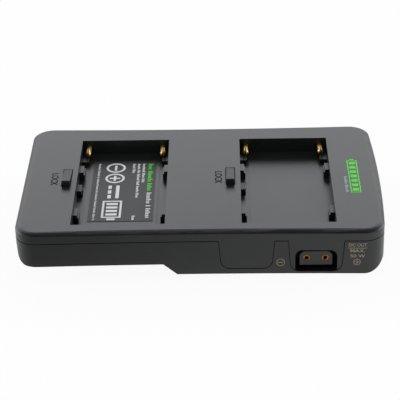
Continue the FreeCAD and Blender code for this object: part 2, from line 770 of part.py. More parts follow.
def make_bottom_cover():
    body = new_body("bottom_cover")
    sketch = start_sketch(body, "base_profile", XZ, front_side)
    polygon(sketch, [
        (left_end, seam),
        (left_end + s.thin_end_draft, thin_base, s.thin_end_radius),
        (step_start, thin_base),
        (step_end, thick_base),
        (right_end - s.thick_end_draft, thick_base, s.thick_end_radius),
        (right_end, seam),
    ])
    add(body, sketch, body_width)
    trim_outside(body, "base_trim", thick_base - s.overcut, seam - thick_base + s.overcut * 2, NOUGHT)

    sketch = start_sketch(body, "base_hollow", XZ, inner_front)
    lap = s.base_wall / 2
    polygon(sketch, [
        (inner_left, seam + s.overcut),
        (inner_left + s.thin_end_draft, thin_floor, s.thin_end_radius / 2),
        (step_start + lap, thin_floor),
        (step_end + lap, thick_floor),
        (inner_right - s.thick_end_draft, thick_floor, s.thick_end_radius - s.base_wall),
        (inner_right, seam + s.overcut),
    ])
    cut(body, sketch, inner_back - inner_front)

    sketch = start_sketch(body, "tongue_gaps", XZ, front_side - s.overcut)
    for name in tongue_x:
        tongue_profile(sketch, name, s.tongue_gap, seam + s.overcut)
    cut(body, sketch, inner_front - front_side + s.overcut + s.seat_gap)
    sketch = start_sketch(body, "socket_seat", XY, recess_under)
    rectangle(sketch, socket_x - socket_half - s.seat_gap, socket_x + socket_half + s.seat_gap,
              inner_front - s.seat_gap, socket_end + s.seat_gap)
    cut(body, sketch, thick_floor - recess_under + s.overcut)

    sketch = start_sketch(body, "base_bosses", XY, thick_base + s.base_wall / 2)
    for x, y in boss_places[2:]:
        square(sketch, x, y, s.boss_width)
    add(body, sketch, boss_split - thick_base - s.base_wall / 2)
    sketch = start_sketch(body, "thin_bosses", XY, thin_base + s.base_wall / 2)
    for x, y in boss_places[:2]:
        square(sketch, x, y, s.boss_width)
    add(body, sketch, boss_split - thin_base - s.base_wall / 2)
    sketch = start_sketch(body, "screw_recesses", XY, thick_base - s.overcut)
    for x, y in boss_places:
        flat_sided(sketch, x, y, s.screw_head + s.seat_gap, 16)
    cut(body, sketch, screw_seat - thick_base + s.overcut)
    sketch = start_sketch(body, "screw_holes", XY, screw_seat - s.overcut)
    for x, y in boss_places:
        flat_sided(sketch, x, y, s.screw_shank + s.seat_gap)
    cut(body, sketch, boss_split - screw_seat + s.overcut * 2)

    sketch = start_sketch(body, "spring_post", XY, thick_base + s.base_wall / 2)
    square(sketch, spring_x["right"], spring_y, s.spring_post)
    add(body, sketch, thin_floor - thick_base - s.base_wall / 2)
    sketch = start_sketch(body, "spring_nubs", XY, thin_floor)
    for side in SIDES:
        flat_sided(sketch, spring_x[side], spring_y, s.spring_nub_radius)
    add(body, sketch, s.spring_nub_height)

    sketch = start_sketch(body, "board_posts", XY, thick_base + s.base_wall / 2)
    for x, y in board_post_places:
        square(sketch, x, y, s.board_post)
    add(body, sketch, board_under - thick_base - s.base_wall / 2)
    sketch = start_sketch(body, "board_pilots", XY, thick_base + s.base_wall / 2)
    for x, y in board_screw_places:
        flat_sided(sketch, x, y, s.board_screw_shank + s.bore_gap)
    cut(body, sketch, board_under - thick_base - s.base_wall / 2 + s.overcut)

    sketch = start_sketch(body, "wedge_bars", XY, thin_base + s.base_wall / 2)
    bar_end = s.wedge_screw_side + s.wedge_bar_width / 2
    for x, y in wedge_screw_places[::2]:
        rectangle(sketch, x - s.wedge_bar_width / 2, x + s.wedge_bar_width / 2, -bar_end, bar_end)
    add(body, sketch, s.base_wall / 2 + s.wedge_bar_rise)
    sketch = start_sketch(body, "wedge_pilots", XY, thin_base - s.overcut)
    for x, y in wedge_screw_places:
        flat_sided(sketch, x, y, s.wedge_screw_shank + s.bore_gap)
    cut(body, sketch, s.base_wall + s.wedge_screw_bite + s.overcut + s.seat_gap)
    sketch = start_sketch(body, "terminal_windows", XY, thin_base - s.overcut)
    half = s.spigot_width / 2 + s.seat_gap
    for y in fork_y.values():
        rectangle(sketch, spigot_start - s.seat_gap, spigot_end + s.seat_gap, y - half, y + half)
    cut(body, sketch, s.base_wall + s.overcut * 2)
    return body


def wedge_plan(sketch, inset):
    """The wedge's plan: it narrows towards the terminals."""
    near = s.wedge_narrow / 2 - inset
    far = s.wedge_wide / 2 - inset
    polygon(sketch, [
        (wedge_start + inset, -near, s.wedge_radius),
        (wedge_end - inset, -far, s.wedge_radius),
        (wedge_end - inset, far, s.wedge_radius),
        (wedge_start + inset, near, s.wedge_radius),
    ])


def make_wedge():
    body = new_body("v_lock_wedge")
    sketch = start_sketch(body, "wedge_flange", XY, NOUGHT)
    wedge_plan(sketch, NOUGHT)
    add(body, sketch, s.wedge_flange)
    dress(body, "Chamfer", edges_at(body, NOUGHT), s.wedge_edge)
    sketch = start_sketch(body, "wedge_neck", XY, s.wedge_flange)
    wedge_plan(sketch, s.wedge_undercut)
    add(body, sketch, thin_base - s.wedge_flange)
    sketch = start_sketch(body, "wedge_screw_recesses", XY, -s.overcut)
    for x, y in wedge_screw_places:
        flat_sided(sketch, x, y, s.wedge_screw_head + s.seat_gap, 16)
    cut(body, sketch, s.wedge_screw_recess + s.overcut)
    sketch = start_sketch(body, "wedge_screw_holes", XY, -s.overcut)
    for x, y in wedge_screw_places:
        flat_sided(sketch, x, y, s.wedge_screw_shank + s.seat_gap)
    cut(body, sketch, thin_base + s.overcut * 2)
    return body


def make_terminal_block():
    body = new_body("v_terminal_block")
    sketch = start_sketch(body, "terminal_plan", XY, s.terminal_lift)
    half = s.terminal_width / 2
    polygon(sketch, [
        (terminal_start, -half, s.terminal_edge),
        (terminal_end, -half),
        (terminal_end, half),
        (terminal_start, half, s.terminal_edge),
    ])
    add(body, sketch, thin_base - s.terminal_lift)
    sketch = start_sketch(body, "terminal_spigots", XY, thin_base)
    half = s.spigot_width / 2
    for y in fork_y.values():
        rectangle(sketch, spigot_start, spigot_end, y - half, y + half)
    add(body, sketch, s.base_wall + s.spigot_rise)
    sketch = start_sketch(body, "terminal_slots", YZ, terminal_start - s.overcut)
    for place in (-1.5, -0.5, 0.5, 1.5):
        middle = s.slot_pitch * place
        rectangle(sketch, middle - s.slot_width / 2, middle + s.slot_width / 2,
                  slot_under, slot_under + s.slot_height)
    cut(body, sketch, s.slot_depth + s.overcut)
    sketch = start_sketch(body, "fork_tail_holes", XY, slot_under + s.slot_height / 2)
    half = s.fork_tail / 2 + s.bore_gap
    for y in fork_y.values():
        rectangle(sketch, fork_tail_x - half, fork_tail_x + half, y - half, y + half)
    cut(body, sketch, thin_floor + s.spigot_rise - slot_under)
    return body


def make_fork(pole):
    """A sprung fork that grips one blade of the mating plate, with a solder tail."""
    body = new_body(f"v_{pole}_contact")
    y = fork_y[pole]
    half = s.slot_width / 2 - s.bore_gap
    inside = half - s.fork_leg
    mouth = terminal_start + s.terminal_edge
    back = slot_end - s.bore_gap
    root = back - s.fork_tail
    base = slot_under + s.bore_gap
    sketch = start_sketch(body, f"{pole}_fork", XY, base)
    polygon(sketch, [
        (mouth, y - half), (back, y - half), (back, y + half), (mouth, y + half),
        (mouth, y + inside), (root, y + inside), (root, y - inside), (mouth, y - inside),
    ])
    add(body, sketch, s.slot_height - s.bore_gap * 2)
    sketch = start_sketch(body, f"{pole}_fork_tail", XY, base + s.slot_height / 2)
    tail = s.fork_tail / 2
    rectangle(sketch, fork_tail_x - tail, fork_tail_x + tail, y - tail, y + tail)
    add(body, sketch, fork_tail_top - base - s.slot_height / 2)
    return body


def make_power_socket():
    body = new_body("power_socket")
    roof = tub_under - s.seat_gap
    sketch = start_sketch(body, "socket_back", XZ, socket_back_face)
    rectangle(sketch, socket_x - socket_half, socket_x + socket_half, recess_under, roof)
    add(body, sketch, s.socket_back)
    sketch = start_sketch(body, "socket_cheeks", XZ, inner_front)
    half = s.recess_width / 2
    for near, far in ((-socket_half, -half), (half, socket_half)):
        rectangle(sketch, socket_x + near, socket_x + far, recess_under, roof)
    add(body, sketch, s.socket_depth)
    sketch = start_sketch(body, "socket_island", XZ, island_front)
    half = s.island_width / 2
    low = socket_z - s.island_height / 2
    high = socket_z + s.island_height / 2
    polygon(sketch, [
        (socket_x - half, high, s.island_radius),
        (socket_x - half, low),
        (socket_x + half, low),
        (socket_x + half, high, s.island_radius),
    ])
    add(body, sketch, socket_back_face - island_front)
    sketch = start_sketch(body, "sleeve_holes", XZ, island_front - s.overcut)
    for way in (-0.5, 0.5):
        circle(sketch, socket_x + s.socket_pitch * way, socket_z, s.sleeve_radius + s.bore_gap)
    cut(body, sketch, socket_end - island_front + s.overcut * 2)
    return body


def turned_body(label, name, profile):
    """A piece turned about its own upright axis, from corners given as radius and height."""
    body = new_body(label)
    sketch = start_sketch(body, name, XZ, NOUGHT)
    polygon(sketch, profile)
    turn(body, sketch)
    return body


def place(item, x, y, z, rotation=None):
    """Put a piece at a place that the sheet keeps."""
    if rotation is not None:
        item.Placement.Rotation = rotation
    for axis, length in (("x", x), ("y", y), ("z", z)):
        item.setExpression(f"Placement.Base.{axis}", as_size(length).formula)


FACING_FRONT = FreeCAD.Rotation(FreeCAD.Vector(1, 0, 0), 90)


def add_tail(body, radius, length):
    """A six-sided solder tail behind a turned contact."""
    sketch = start_sketch(body, f"{body.Name}_tail", XY, -length)
    flat_sided(sketch, NOUGHT, NOUGHT, radius)
    add(body, sketch, length)


def make_sleeve(pole, way):
    """A socket contact: a bored sleeve with a solder tail on the circuit board."""
    length = socket_end - island_front - s.sleeve_inset
    body = turned_body(f"power_{pole}_contact", f"{pole}_sleeve", [
        (NOUGHT, NOUGHT),
        (s.sleeve_radius, NOUGHT),
        (s.sleeve_radius, length),
        (s.sleeve_bore, length),
        (s.sleeve_bore, length - s.sleeve_bore_depth),
        (NOUGHT, length - s.sleeve_bore_depth),
    ])
    add_tail(body, s.sleeve_tail_radius, s.sleeve_tail)
    place(body, socket_x + s.socket_pitch * way, socket_end, socket_z, FACING_FRONT)
    return body


def make_pin(side, pole):
    """A battery pin: a slit nose, a shank through the pocket's wall, a solder tail through its board."""
    nose = s.tub_wall + s.pin_reach
    label = f"{side}_{pole}_pin"
    body = turned_body(label, f"{label}_profile", [
        (NOUGHT, NOUGHT),
        (s.pin_radius, NOUGHT),
        (s.pin_radius, nose - s.pin_nose),
        (s.pin_radius - s.pin_nose / 3, nose - s.pin_nose / 3),
        (s.pin_radius - s.pin_nose, nose),
        (NOUGHT, nose),
    ])
    sketch = start_sketch(body, f"{label}_slit", XZ, -s.pin_radius - s.overcut)
    rectangle(sketch, -s.pin_slit / 2, s.pin_slit / 2, nose - s.pin_slit_depth, nose + s.overcut)
    cut(body, sketch, (s.pin_radius + s.overcut) * 2)
    add_tail(body, s.pin_tail_radius, s.board_thickness + s.pin_tail_reach)
    place(body, pin_x[side, pole], contact_board_front, pin_z, FACING_FRONT)
    return body


def make_contact_board(side):
    body = new_body(f"{side}_contact_board")
    sketch = start_sketch(body, f"{side}_contact_plan", XZ, contact_board_front)
    rectangle(sketch, pocket_left[side] - s.contact_board_lap, pocket_right[side] + s.contact_board_lap,
              tub_under, plate_under - s.seat_gap)
    add(body, sketch, s.board_thickness)
    sketch = start_sketch(body, f"{side}_tail_holes", XZ, contact_board_front - s.overcut)
    for pole in ("negative", "positive"):
        flat_sided(sketch, pin_x[side, pole], pin_z, s.pin_tail_radius + s.bore_gap)
    cut(body, sketch, s.board_thickness + s.overcut * 2)
    return body


def make_circuit_board():
    body = new_body("main_circuit_board")
    sketch = start_sketch(body, "board_plan", XY, board_under)
    rectangle(sketch, board_left, board_right, board_front, board_back)
    add(body, sketch, s.board_thickness)
    sketch = start_sketch(body, "board_holes", XY, board_under - s.overcut)
    for x, y in board_screw_places:
        flat_sided(sketch, x, y, s.board_screw_shank + s.seat_gap)
    cut(body, sketch, s.board_thickness + s.overcut * 2)
    return body


def make_transistor(side, way):
    """A flat power transistor: moulded case on a wider metal tab."""
    body = new_body(f"{side}_transistor")
    middle = (board_left + pocket_right["right"]) / 2 + s.transistor_pitch * way
    half = s.transistor_width / 2
    case_start = board_middle + s.transistor_shift
    tab_end = case_start + s.transistor_length
    sketch = start_sketch(body, f"{side}_transistor_case", XY, board_top)
    rectangle(sketch, middle - half, middle + half, case_start, tab_end)
    add(body, sketch, s.transistor_height)
    sketch = start_sketch(body, f"{side}_transistor_tab", XY, board_top)
    rectangle(sketch, middle - half + s.transistor_tab / 2, middle + half - s.transistor_tab / 2,
              tab_end, tab_end + s.transistor_tab)
    add(body, sketch, s.transistor_height / 4)
    return body


def make_capacitor():
    """A standing can with a chamfered rim."""
    body = turned_body("smoothing_capacitor", "capacitor_profile", [
        (NOUGHT, NOUGHT),
        (s.capacitor_radius, NOUGHT),
        (s.capacitor_radius, s.capacitor_height - s.capacitor_edge),
        (s.capacitor_radius - s.capacitor_edge, s.capacitor_height),
        (NOUGHT, s.capacitor_height),
    ])
    beyond_fuse = board_middle + s.fuse_length / 2 + s.capacitor_radius + s.board_clear
    place(body, board_right - s.capacitor_radius - s.board_clear, beyond_fuse, board_top)
    return body


fuse_x = board_right - s.capacitor_radius - s.board_clear
fuse_z = board_top + s.fuse_lift + s.clip_metal + s.fuse_radius


def make_fuse():
    """A cartridge fuse: two end caps on a slightly thinner tube."""
    half = s.fuse_length / 2
    waist = s.fuse_radius - s.fuse_waist
    body = turned_body("fuse", "fuse_profile", [
        (NOUGHT, -half),
        (s.fuse_radius, -half),
        (s.fuse_radius, s.fuse_cap - half),
        (waist, s.fuse_cap - half),
        (waist, half - s.fuse_cap),
        (s.fuse_radius, half - s.fuse_cap),
        (s.fuse_radius, half),
        (NOUGHT, half),
    ])
    place(body, fuse_x, board_middle, fuse_z, FACING_FRONT)
    return body


def make_clip(name, way):
    """A spring clip that holds one cap of the fuse: a trough with two upright cheeks on a foot."""
    body = new_body(f"{name}_fuse_clip")
    middle = board_middle + (s.fuse_length - s.fuse_cap) * way
    inner = s.fuse_radius + s.bore_gap
    outer = inner + s.clip_metal
    floor = fuse_z - inner
    sketch = start_sketch(body, f"{name}_clip_trough", XZ, middle - s.clip_width / 2)
    polygon(sketch, [
        (fuse_x - outer, fuse_z), (fuse_x - outer, floor - s.clip_metal),
        (fuse_x + outer, floor - s.clip_metal), (fuse_x + outer, fuse_z),
        (fuse_x + inner, fuse_z), (fuse_x + inner, floor),
        (fuse_x - inner, floor), (fuse_x - inner, fuse_z),
    ])
    add(body, sketch, s.clip_width)
    sketch = start_sketch(body, f"{name}_clip_foot", XY, board_top)
    rectangle(sketch, fuse_x - s.fuse_radius / 2, fuse_x + s.fuse_radius / 2,
              middle - s.clip_width / 4, middle + s.clip_width / 4)
    add(body, sketch, floor - s.clip_metal - board_top)
    return body


def make_lock_button(side):
    """A ramped button with a flange under the cover and a tooth that reaches into the pocket."""
    body = new_body(f"{side}_lock_button")
    flange_top = plate_under - s.moving_gap
    flange_under = flange_top - s.lock_flange_depth
    sketch = start_sketch(body, f"{side}_ramp", YZ, lock_left[side])
    polygon(sketch, [
        (lock_near, flange_under),
        (lock_far, flange_under),
        (lock_far, top),
        (lock_near, top + s.lock_rise, s.lock_rise / 5),
    ])
    add(body, sketch, s.lock_width)
    sketch = start_sketch(body, f"{side}_flange", XY, flange_under)
    land = s.lock_land - s.tub_wall - s.moving_gap
    rectangle(sketch, lock_left[side] - s.lock_flange, lock_right[side] + land,
              lock_near - s.lock_flange, lock_far + s.lock_flange)
    add(body, sketch, s.lock_flange_depth)
    sketch = start_sketch(body, f"{side}_stem", XY, tooth_under)
    rectangle(sketch, lock_left[side], lock_right[side], tooth_near, tooth_far)
    add(body, sketch, flange_under - tooth_under)
    sketch = start_sketch(body, f"{side}_tooth", XZ, tooth_near)
    tip = pocket_left[side] + s.tooth_reach
    polygon(sketch, [
        (lock_right[side], tooth_under),
        (tip, tooth_under),
        (tip, tooth_top, s.tooth_reach / 3),
        (lock_right[side], tooth_top),
    ])
    add(body, sketch, s.tooth_length)
    sketch = start_sketch(body, f"{side}_button_nub", XY, tooth_under - s.spring_nub_height)
    flat_sided(sketch, spring_x[side], spring_y, s.spring_nub_radius)
    add(body, sketch, s.spring_nub_height)
    return body


def hexagonal_bar(label, points, radius):
    """A six-sided bar along a chain of straight runs, mitred where they meet."""
    path = Part.makePolygon(points)
    along = (points[1] - points[0]).normalize()
    across = along.cross(FreeCAD.Vector(0.3, 0.5, 0.8)).normalize()
    corners = [
        points[0] + FreeCAD.Rotation(along, 60 * number).multVec(across) * radius.value
        for number in range(7)
    ]
    bar = doc.addObject("Part::Feature", label)
    bar.Label = label
    bar.Shape = path.makePipeShell([Part.makePolygon(corners)], True, False, 1)
    return bar


def make_spring(side):
    """The coil spring under a lock button, in straight steps round its axis."""
    steps_per_turn = 8
    lift = (s.spring_wire + s.seat_gap) / 2
    height = tooth_under - thin_floor - lift * 2
    count = round(s.spring_turns.value * steps_per_turn)
    radius = s.spring_radius.value
    points = []
    for step in range(count + 1):
        turn = 2 * math.pi * step / steps_per_turn
        x = spring_x[side].value + radius * math.cos(turn)
        y = spring_y.value + radius * math.sin(turn)
        points.append(FreeCAD.Vector(x, y, (thin_floor + lift).value + height.value * step / count))
    return hexagonal_bar(f"{side}_lock_spring", points, s.spring_wire / 2)


def make_prism(name, sides, radius, height, x, y, z):
    item = doc.addObject("Part::Prism", name)
    item.Polygon = sides
    item.setExpression("Circumradius", radius.formula)
    item.setExpression("Height", height.formula)
    place(item, x, y, z)
    return item


def make_screw(name, x, y, seat, up, head, head_height, shank, length):
    """One plain screw; up tells which way its shank points from its seat."""
    head_z = seat - head_height if up else seat
    shank_z = seat if up else seat - length
    screw = doc.addObject("Part::Fuse", name)
    screw.Base = make_prism(f"{name}_head", 16, head, head_height, x, y, head_z)
    screw.Tool = make_prism(f"{name}_shank", 6, shank, length, x, y, shank_z)
    return screw


def make_screws(label, places, seat, up, head, head_height, shank, length):
    """A set of like screws, kept together as one piece of the parts list."""
    group = doc.addObject("Part::Compound", label)
    group.Label = label
    group.Links = [
        make_screw(f"{label}_{number}", x, y, seat, up, head, head_height, shank, length)
        for number, (x, y) in enumerate(places, start=1)
    ]
    doc.recompute()
    return group


def make_label():
    item = doc.addObject("Part::Box", "rating_label")
    item.Label = "rating_label"
    item.setExpression("Length", s.label_width.formula)
    item.setExpression("Width", s.label_length.formula)
    item.setExpression("Height", s.label_thickness.formula)
    place(item, pocket_middle["left"] - s.label_width / 2, pocket_near + s.label_start,
          pocket_floor + s.platform_rise)
    return item


def make_lead(label, route):
    """An insulated lead along straight runs, with a short slanted run across each corner."""
    points = [FreeCAD.Vector(*[as_size(place_on_axis).value for place_on_axis in point]) for point in route]
    path = [points[0]]
    for before, corner, after in zip(points, points[1:], points[2:]):
        path.append(corner + (before - corner).normalize() * s.lead_bend.value)
        path.append(corner + (after - corner).normalize() * s.lead_bend.value)
    path.append(points[-1])
    return hexagonal_bar(label, path, s.lead_radius)


def battery_lead_start(side, way):
    """From the back of a contact board down to the level of the runs under the pocket."""
    x = pocket_middle[side] + s.lead_pitch * way
    back_y = contact_board_back + s.lead_back
    start_z = (pin_z + tub_under) / 2
    return [(x, contact_board_back, start_z), (x, back_y, start_z), (x, back_y, lead_run_z)]


lead_run_z = thin_floor + s.lead_rise + s.lead_radius
lead_end_y = board_back - s.board_screw_inset * 2


def make_leads():
    leads = []
    for number, pole in enumerate(("negative", "positive")):
        step = s.lead_run_gap * number
        x = pocket_middle["left"] + s.lead_pitch * number
        run_y = board_back + s.lead_radius * 2 + step
        end_x = board_left + s.board_screw_inset * 2 + step
        leads.append(make_lead(f"left_{pole}_lead", battery_lead_start("left", number) + [
            (x, run_y, lead_run_z), (end_x, run_y, lead_run_z),
            (end_x, lead_end_y, lead_run_z), (end_x, lead_end_y, board_top),
        ]))
        x = pocket_middle["right"] + s.lead_pitch * number
        leads.append(make_lead(f"right_{pole}_lead", battery_lead_start("right", number) + [
            (x, lead_end_y, lead_run_z), (x, lead_end_y, board_top),
        ]))
        y = fork_y[pole]
        run_z = fork_tail_top + s.lead_bend + s.lead_radius / 2
        end_x = board_left + s.board_screw_inset
        leads.append(make_lead(f"terminal_{pole}_lead", [
            (fork_tail_x, y, fork_tail_top), (fork_tail_x, y, run_z),
            (end_x, y, run_z), (end_x, y, board_top),
        ]))
    return leads


nodes = [
    make_top_cover(),
    make_bottom_cover(),
    make_wedge(),
    make_terminal_block(),
    make_power_socket(),
    make_circuit_board(),
    make_capacitor(),
    make_fuse(),
    make_clip("front", -0.5),
    make_clip("rear", 0.5),
    make_label(),
]
for side_name, side_way in (("left", -0.5), ("right", 0.5)):
    nodes.append(make_contact_board(side_name))
    nodes.append(make_lock_button(side_name))
    nodes.append(make_spring(side_name))
    nodes.append(make_transistor(side_name, side_way))
    for pole_name in ("negative", "positive"):
        nodes.append(make_pin(side_name, pole_name))
for pole_name, pole_way in (("negative", -0.5), ("positive", 0.5)):
    nodes.append(make_fork(pole_name))
    nodes.append(make_sleeve(pole_name, pole_way))
nodes += make_leads()
nodes.append(make_screws("housing_screws", boss_places, screw_seat, True, s.screw_head,
                         s.screw_head_height, s.screw_shank, s.screw_length))
nodes.append(make_screws("v_lock_screws", wedge_screw_places, s.wedge_screw_recess, True, s.wedge_screw_head,
                         s.wedge_screw_head_height, s.wedge_screw_shank,
                         thin_floor + s.wedge_screw_bite - s.wedge_screw_recess))
nodes.append(make_screws("board_screws", board_screw_places, board_top, False, s.board_screw_head,
                         s.board_screw_head_height, s.board_screw_shank,
                         board_top - thick_base - s.base_wall))

doc.recompute()
failed = [item.Name for item in doc.Objects if "Invalid" in item.State or "Error" in item.State]
for node in nodes:
    if node.Shape.isNull() or not node.Shape.isValid() or not node.Shape.Solids:
        failed.append(node.Label)
if failed:
    raise RuntimeError("These pieces failed: " + ", ".join(failed))

os.makedirs("parts", exist_ok=True)
for node in nodes:
    node.Shape.exportStep(os.path.join("parts", f"{node.Label}.step"))
    print(node.Label, len(node.Shape.Solids), round(node.Shape.Volume, 1))
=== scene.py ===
"""Finishes, printing and screw heads of a two-battery adapter plate on a V-lock wedge."""
import json
import math

import bpy
from mathutils import Matrix, Vector


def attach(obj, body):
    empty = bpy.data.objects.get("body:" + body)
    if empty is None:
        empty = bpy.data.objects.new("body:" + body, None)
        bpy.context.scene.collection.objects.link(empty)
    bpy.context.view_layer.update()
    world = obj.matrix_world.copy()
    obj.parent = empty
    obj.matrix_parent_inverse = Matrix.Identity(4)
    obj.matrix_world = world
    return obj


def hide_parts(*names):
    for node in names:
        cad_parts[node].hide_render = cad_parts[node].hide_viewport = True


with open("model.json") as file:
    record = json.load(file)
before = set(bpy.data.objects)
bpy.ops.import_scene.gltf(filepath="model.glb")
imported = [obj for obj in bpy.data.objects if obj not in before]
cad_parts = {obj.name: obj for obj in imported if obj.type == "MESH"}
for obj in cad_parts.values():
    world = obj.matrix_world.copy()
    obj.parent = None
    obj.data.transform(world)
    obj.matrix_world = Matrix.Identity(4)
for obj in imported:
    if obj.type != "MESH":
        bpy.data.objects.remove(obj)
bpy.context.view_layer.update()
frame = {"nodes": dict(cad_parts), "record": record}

# Places and sizes below are in millimetres, in the frame of the parts.
MM = 0.001
TOP_FACE = 22.7
LABEL_FACE = 16.15
AHEAD_OF_FRONT = -60
RATING_MIDDLE = 63.9
LETTER_HEIGHT = 0.7
INK_DEPTH = 0.03


# Finishes

def start_finish(name, colour, roughness):
    """A finish with its shader set to one plain colour, and the piece's own place as its pattern space."""
    finish = bpy.data.materials.new(name)
    finish.use_nodes = True
    shader = finish.node_tree.nodes["Principled BSDF"]
    shader.inputs["Base Color"].default_value = (*colour, 1)
    shader.inputs["Roughness"].default_value = roughness
    place = finish.node_tree.nodes.new("ShaderNodeTexCoord").outputs["Object"]
    return finish, shader, place


def join(finish, source, target):
    """Feed one node's result into another node of the finish."""
    finish.node_tree.links.new(source, target)


def speckle(finish, place, size, detail=2.0):
    """Fine cloudy noise; size is the width of one grain in millimetres."""
    noise = finish.node_tree.nodes.new("ShaderNodeTexNoise")
    noise.inputs["Scale"].default_value = 1 / (size * MM)
    noise.inputs["Detail"].default_value = detail
    join(finish, place, noise.inputs["Vector"])
    return noise.outputs["Fac"]


def spread(finish, source, low, high):
    """Stretch a pattern so that it runs from low to high."""
    node = finish.node_tree.nodes.new("ShaderNodeMapRange")
    node.inputs["From Min"].default_value = 0.3
    node.inputs["From Max"].default_value = 0.7
    node.inputs["To Min"].default_value = low
    node.inputs["To Max"].default_value = high
    join(finish, source, node.inputs["Value"])
    return node.outputs["Result"]


def two_tone(finish, source, first, second):
    """Colour a pattern from its first tone to its second."""
    ramp = finish.node_tree.nodes.new("ShaderNodeValToRGB")
    ramp.color_ramp.elements[0].position = 0.3
    ramp.color_ramp.elements[0].color = (*first, 1)
    ramp.color_ramp.elements[1].position = 0.7
    ramp.color_ramp.elements[1].color = (*second, 1)
    join(finish, source, ramp.inputs["Fac"])
    return ramp.outputs["Color"]


def relief(finish, shader, source, depth, strength):
    """Raise and lower the surface by a pattern; depth is in millimetres."""
    bump = finish.node_tree.nodes.new("ShaderNodeBump")
    bump.inputs["Distance"].default_value = depth * MM
    bump.inputs["Strength"].default_value = strength
    join(finish, source, bump.inputs["Height"])
    join(finish, bump.outputs["Normal"], shader.inputs["Normal"])


def spark_eroded_plastic(name, dark, light, roughness, grain):
    """Moulded plastic with the fine texture that a spark-eroded tool leaves."""
    finish, shader, place = start_finish(name, light, roughness)
    clouds = speckle(finish, place, 9.0, 3.0)
    grains = speckle(finish, place, grain)
    join(finish, two_tone(finish, clouds, dark, light), shader.inputs["Base Color"])
    join(finish, spread(finish, grains, roughness - 0.06, roughness + 0.06), shader.inputs["Roughness"])
    relief(finish, shader, grains, 0.02, 0.35)
    return finish


def plated_metal(name, bright, shade, roughness, grain):
    """Metal with faint turning marks and slightly uneven colour."""
    finish, shader, place = start_finish(name, bright, roughness)
    shader.inputs["Metallic"].default_value = 1.0
    clouds = speckle(finish, place, 1.6)
    marks = speckle(finish, place, grain)
    join(finish, two_tone(finish, clouds, shade, bright), shader.inputs["Base Color"])
    join(finish, spread(finish, marks, roughness - 0.05, roughness + 0.08), shader.inputs["Roughness"])
    relief(finish, shader, marks, 0.01, 0.2)
    return finish


def printed_ink(name, thin, full, roughness, shine):
    """Pad-printed ink, a little thinner in places; shine is how much it mirrors."""
    finish, shader, place = start_finish(name, full, roughness)
    shader.inputs["Specular IOR Level"].default_value = shine
    patches = speckle(finish, place, 0.5)
    join(finish, two_tone(finish, patches, thin, full), shader.inputs["Base Color"])
    join(finish, spread(finish, patches, roughness - 0.05, roughness + 0.05), shader.inputs["Roughness"])
    return finish


def soft_insulation(name, dark, light):
    """Coloured covering of a lead."""
    finish, shader, place = start_finish(name, light, 0.5)
    clouds = speckle(finish, place, 3.0)
    join(finish, two_tone(finish, clouds, dark, light), shader.inputs["Base Color"])
    join(finish, spread(finish, clouds, 0.42, 0.58), shader.inputs["Roughness"])
    return finish


def solder_mask(name):
    """Green lacquer over copper runs that show as paler bands."""
    finish, shader, place = start_finish(name, (0.02, 0.14, 0.06), 0.35)
    runs = finish.node_tree.nodes.new("ShaderNodeTexBrick")
    runs.inputs["Scale"].default_value = 90
    runs.inputs["Mortar Size"].default_value = 0.03
    runs.inputs["Color1"].default_value = (0.016, 0.11, 0.045, 1)
    runs.inputs["Color2"].default_value = (0.02, 0.14, 0.06, 1)
    runs.inputs["Mortar"].default_value = (0.05, 0.26, 0.11, 1)
    join(finish, place, runs.inputs["Vector"])
    join(finish, runs.outputs["Color"], shader.inputs["Base Color"])
    relief(finish, shader, runs.outputs["Fac"], 0.03, 0.4)
    return finish


def capped_glass(name, middle, half_length, cap):
    """A fuse along Y: pale glass with bright caps at both ends; cap is the length of one."""
    finish, shader, place = start_finish(name, (0.8, 0.84, 0.84), 0.12)
    apart = finish.node_tree.nodes.new("ShaderNodeSeparateXYZ")
    join(finish, place, apart.inputs["Vector"])
    away = finish.node_tree.nodes.new("ShaderNodeMath")
    away.operation = "SUBTRACT"
    away.inputs[1].default_value = middle * MM
    join(finish, apart.outputs["Y"], away.inputs[0])
    distance = finish.node_tree.nodes.new("ShaderNodeMath")
    distance.operation = "ABSOLUTE"
    join(finish, away.outputs["Value"], distance.inputs[0])
    on_cap = finish.node_tree.nodes.new("ShaderNodeMath")
    on_cap.operation = "GREATER_THAN"
    on_cap.inputs[1].default_value = (half_length - cap) * MM
    join(finish, distance.outputs["Value"], on_cap.inputs[0])
    join(finish, on_cap.outputs["Value"], shader.inputs["Metallic"])
    join(finish, two_tone(finish, on_cap.outputs["Value"], (0.5, 0.55, 0.55), (0.72, 0.72, 0.7)),
         shader.inputs["Base Color"])
    return finish


